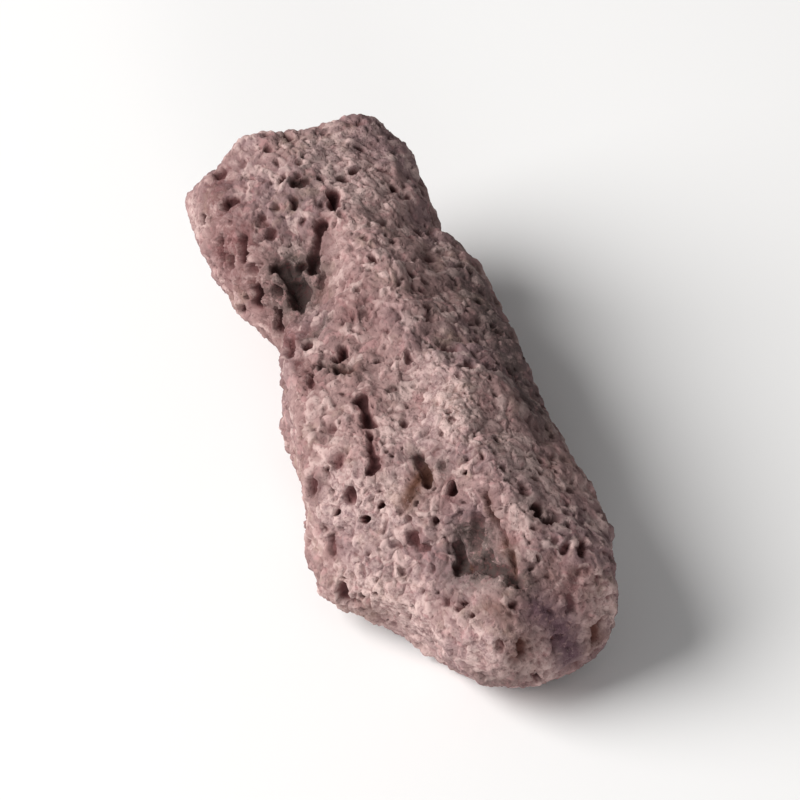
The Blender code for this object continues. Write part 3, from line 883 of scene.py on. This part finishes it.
# %% Patterns
finish = bpy.data.materials.new("red_scoria")
finish.use_nodes = True
tree = finish.node_tree
surface = tree.nodes["Principled BSDF"]
place = Wire(tree, tree.nodes.new("ShaderNodeTexCoord").outputs["Object"])
mm = place.node("ShaderNodeVectorMath", {"operation": "SCALE"}, {0: place, "Scale": 1 / MM})
STRAY_MM = (1.1, 1.1, 1.1)      # how far the small pores stray


def cloud(scale, detail, roughness, seed):
    """Soft random values from 0 to 1, with features about one millimetre divided by scale wide."""
    return mm.node("ShaderNodeTexNoise", {"noise_dimensions": "4D"},
                   {"Vector": mm, "W": seed, "Scale": scale, "Detail": detail, "Roughness": roughness})


drift = mm.node("ShaderNodeTexNoise", {}, {"Vector": mm, "Scale": 0.9, "Detail": 2.0}, output=1)
drift = mm.node("ShaderNodeVectorMath", {"operation": "SUBTRACT"}, {0: drift, 1: (0.5, 0.5, 0.5)})
strayed_mm = mm.node("ShaderNodeVectorMath", {"operation": "MULTIPLY_ADD"}, {0: drift, 1: STRAY_MM, 2: mm})


def pores(per_mm):
    """1 in the middle of a small pore, falling to 0 at its rim, with a pore in most cells."""
    near = mm.node("ShaderNodeTexVoronoi", {"feature": "F1"}, {"Vector": strayed_mm, "Scale": per_mm})
    return near.ease(0.42, 0.12)


def known_at(name):
    """What the skin knows about each point under this name."""
    return mm.node("ShaderNodeAttribute", {"attribute_name": name}, {}, output="Fac")


broad = cloud(0.075, 3.0, 0.5, 1.0)
medium = cloud(0.28, 4.0, 0.6, 2.0)
fine = cloud(1.5, 4.0, 0.7, 3.0)
tiny_pores = pores(2.1)
depth = known_at("pit_depth")
top = known_at("crumb_top")
tone = known_at("crumb_tone")
hue = known_at("crumb_hue")
print("what the skin knows:", sorted(known))

# %% [markdown]
# ## From the ground up to the stains
#
# The layers go on in the order in which they came to the rock: the froth's own colours, then dust and dusk
# from crumb to crumb, then the creases, the smallest pores and the pits, darkened with painted shade, and the
# stains last, among them a grey-olive painted shade and pale painted light. Each line names a pattern, the
# two values between which it fades in, how much of it there is at most, and its colour. The edges of stains
# are broken up by the noise that they are multiplied with.

# %% The froth, its dust, and painted shade in its creases and smallest pores
ground = broad.ease(0.40, 0.62).mixed(ROSE, MAUVE)
ground = medium.ease(0.50, 0.72).mixed(ground, TAN)
ground = (hue.ease(0.60, 0.90) * 0.6).mixed(ground, PINK)
ground = (tone.ease(0.50, 0.85) * 0.75).mixed(ground, PALE)
ground = (tone.ease(0.45, 0.15) * 0.45).mixed(ground, DUSK)
ground = (fine.ease(0.52, 0.75) * 0.4).mixed(ground, PALE)
# Pale stains: dust on the crest and knobs, and painted light on the near left side and at the toe.
ground = (known_at("pale") * fine.ease(0.35, 0.60)).mixed(ground, PALE)
ground = (fine.ease(0.48, 0.28) * 0.4).mixed(ground, DUSK)
# Painted shade: maroon darkens the creases between crumbs.
ground = (top.ease(0.75, 0.20) * 0.55).mixed(ground, MAROON)
# Painted shade: dusk darkens the smallest pores.
ground = (tiny_pores * 0.25).mixed(ground, DUSK)
print("nodes for the ground:", len(tree.nodes))

# %% The pits and the stains, with painted shade in pits and hollows
# Pits maroon by their depth: partly the rock's own red, partly painted shade.
shade = depth.ease(0.05, 1.1).mixed(ground, MAROON)
# Maroon stains; the weak one along the left rim is painted shade.
shade = (known_at("maroon") * medium.ease(0.25, 0.45) * fine.ease(0.30, 0.56)).mixed(shade, MAROON)
# Painted shade, darker towards the bottom of each pit.
shade = (depth.ease(0.6, 1.5) * 0.65).mixed(shade, PAINTED_PIT_SHADE)
shade = (known_at("plum") * fine.ease(0.30, 0.50)).mixed(shade, PLUM)
# Painted shade in the hollows, on pits, down the right slope and at the bottom rim.
shade = (known_at("painted_shade") * fine.ease(0.32, 0.54) * 0.9).mixed(shade, PAINTED_SHADE)
rusty_pits = medium.ease(0.60, 0.68) * depth.ease(0.1, 0.8)
shade = (rusty_pits * 0.6).mixed(shade, OCHRE)
shade = (known_at("ochre") * fine.ease(0.28, 0.46)).mixed(shade, OCHRE)
tree.links.new(shade.socket, surface.inputs["Base Color"])
print("nodes with the stains:", len(tree.nodes))

# %% [markdown]
# ## Dull and grainy
#
# Nothing shines, so the roughness stays near 1 and the gloss is low. The finest pores and grains are too
# small for the mesh, so a Bump node raises them.

# %% Roughness and bump
GLOSS = 0.25
ROUGHEST = 0.97
LESS_ROUGH = 0.08   # what the fine noise takes away from that
GRAIN_MM = 0.30     # height of the finest grains
PORE_MM = 0.12      # depth of the smallest pores
BUMP_SHARE = 0.6    # how much of both the bump shows
surface.inputs["Metallic"].default_value = 0.0
surface.inputs["Specular IOR Level"].default_value = GLOSS
roughness = ROUGHEST - LESS_ROUGH * fine
tree.links.new(roughness.socket, surface.inputs["Roughness"])
rise = fine * GRAIN_MM - tiny_pores * PORE_MM
bump = rise.node("ShaderNodeBump", {}, {"Strength": BUMP_SHARE, "Distance": MM, "Height": rise})
tree.links.new(bump.socket, surface.inputs["Normal"])
rock.data.materials.clear()
rock.data.materials.append(finish)
print("nodes in the finish:", len(tree.nodes))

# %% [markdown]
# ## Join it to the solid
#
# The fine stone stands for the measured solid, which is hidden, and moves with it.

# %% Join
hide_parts("lava_rock")
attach(rock, "root")
print("joined to lava_rock:", rock.name)

# %% [markdown]
# ## The table
#
# A wide pale sheet of paper under the stone, as in a small photo studio. It bounces light into the shaded
# sides.

# %% Table
TABLE_HALF = 3.0
PAPER = (0.86, 0.86, 0.86, 1)
PAPER_ROUGHNESS = 0.9
sheet = np.array([(-1, -1, 0), (1, -1, 0), (1, 1, 0), (-1, 1, 0)]) * TABLE_HALF
table_top = bpy.data.objects.new("table", mesh_of("table", sheet, np.array([[0, 1, 2, 3]])))
bpy.context.scene.collection.objects.link(table_top)
paper = bpy.data.materials.new("pale_paper")
paper.use_nodes = True
paper_surface = paper.node_tree.nodes["Principled BSDF"]
paper_surface.inputs["Base Color"].default_value = PAPER
paper_surface.inputs["Roughness"].default_value = PAPER_ROUGHNESS
table_top.data.materials.append(paper)
table_top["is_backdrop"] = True
tell("table, side (m)", 2 * TABLE_HALF)

# %% [markdown]
# ## Where the picture is taken from
#
# The camera looks down at 45 degrees over the stone's near left end. Three directions that belong to it are
# worked out here from two angles, because the lamps are easier to place by what the picture shows: to its
# right, to its top, and towards the camera.

# %% Three directions
AZIMUTH = radians(-17)
ELEVATION = radians(45)
to_right = np.array([cos(AZIMUTH), sin(AZIMUTH), 0])
to_top = np.array([-sin(AZIMUTH) * sin(ELEVATION), cos(AZIMUTH) * sin(ELEVATION), cos(ELEVATION)])
to_camera = np.cross(to_right, to_top)
aim = MIDDLE * MM
tell("towards the camera", to_camera)

# %% [markdown]
# ## Light
#
# One large soft lamp fairly high at the left and a little behind, as the stone's bright left shoulder and dim
# right side show, a weak one low in front, and an even pale surrounding for the rest.

# %% Surroundings and lamps
SURROUNDINGS = 0.21
world = bpy.data.worlds.new("surroundings")
bpy.context.scene.world = world
world.use_nodes = True
world.node_tree.nodes["Background"].inputs["Color"].default_value = (1, 1, 1, 1)
world.node_tree.nodes["Background"].inputs["Strength"].default_value = SURROUNDINGS


def looking_at(obj, spot, target):
    """Turns an object so that its -Z points from spot to target."""
    obj.location = spot
    obj.rotation_euler = Vector(np.array(target) - np.array(spot)).to_track_quat("-Z", "Y").to_euler()


def lamp(name, direction, distance, size, power, tint):
    """A round lamp of one size (m) and power (W), facing the stone from a distance in one direction."""
    data = bpy.data.lights.new(name, "AREA")
    data.shape = "DISK"
    data.size = size
    data.energy = power
    data.color = tint
    obj = bpy.data.objects.new(name, data)
    bpy.context.scene.collection.objects.link(obj)
    looking_at(obj, aim + unit(np.array(direction)) * distance, aim)
    tell(name + " lamp at (m)", obj.location)


WARM = (1, 0.985, 0.97)
WHITE = (1, 1, 1)
lamp("key", -0.87 * to_right + 0.40 * to_top + 0.47 * to_camera,
     distance=1.2, size=1.1, power=25.5, tint=WARM)
lamp("front fill", 0.1 * to_right - 0.5 * to_top + 0.8 * to_camera,
     distance=1.4, size=0.5, power=6, tint=WHITE)

# %% [markdown]
# ## Camera
#
# A long lens, far enough away that the stone keeps the shape that it has in the picture. The lens follows
# from the width of the frame at the stone: its length is to the sensor's width as the distance is to the
# frame's.

# %% Camera
DISTANCE = 1.2
FRAME_WIDTH = 0.0992
SENSOR = 36
camera = bpy.data.cameras.new("camera")
camera.sensor_width = SENSOR
camera.lens = SENSOR * DISTANCE / FRAME_WIDTH
camera.clip_end = 20
eye = bpy.data.objects.new("camera", camera)
bpy.context.scene.collection.objects.link(eye)
looking_at(eye, aim + to_camera * DISTANCE, aim)
bpy.context.scene.camera = eye
bpy.context.scene.view_settings.view_transform = "Standard"
tell("camera at (m)", eye.location)

# %% [markdown]
# ## The size of the dressed stone
#
# The dressed stone is meant to stay within the solid's box, so its box is printed as the solid's was.

# %% The dressed stone's box
dressed_box = [list(corner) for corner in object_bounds()]
tell("dressed, from and to (mm)", np.array(dressed_box) / MM)
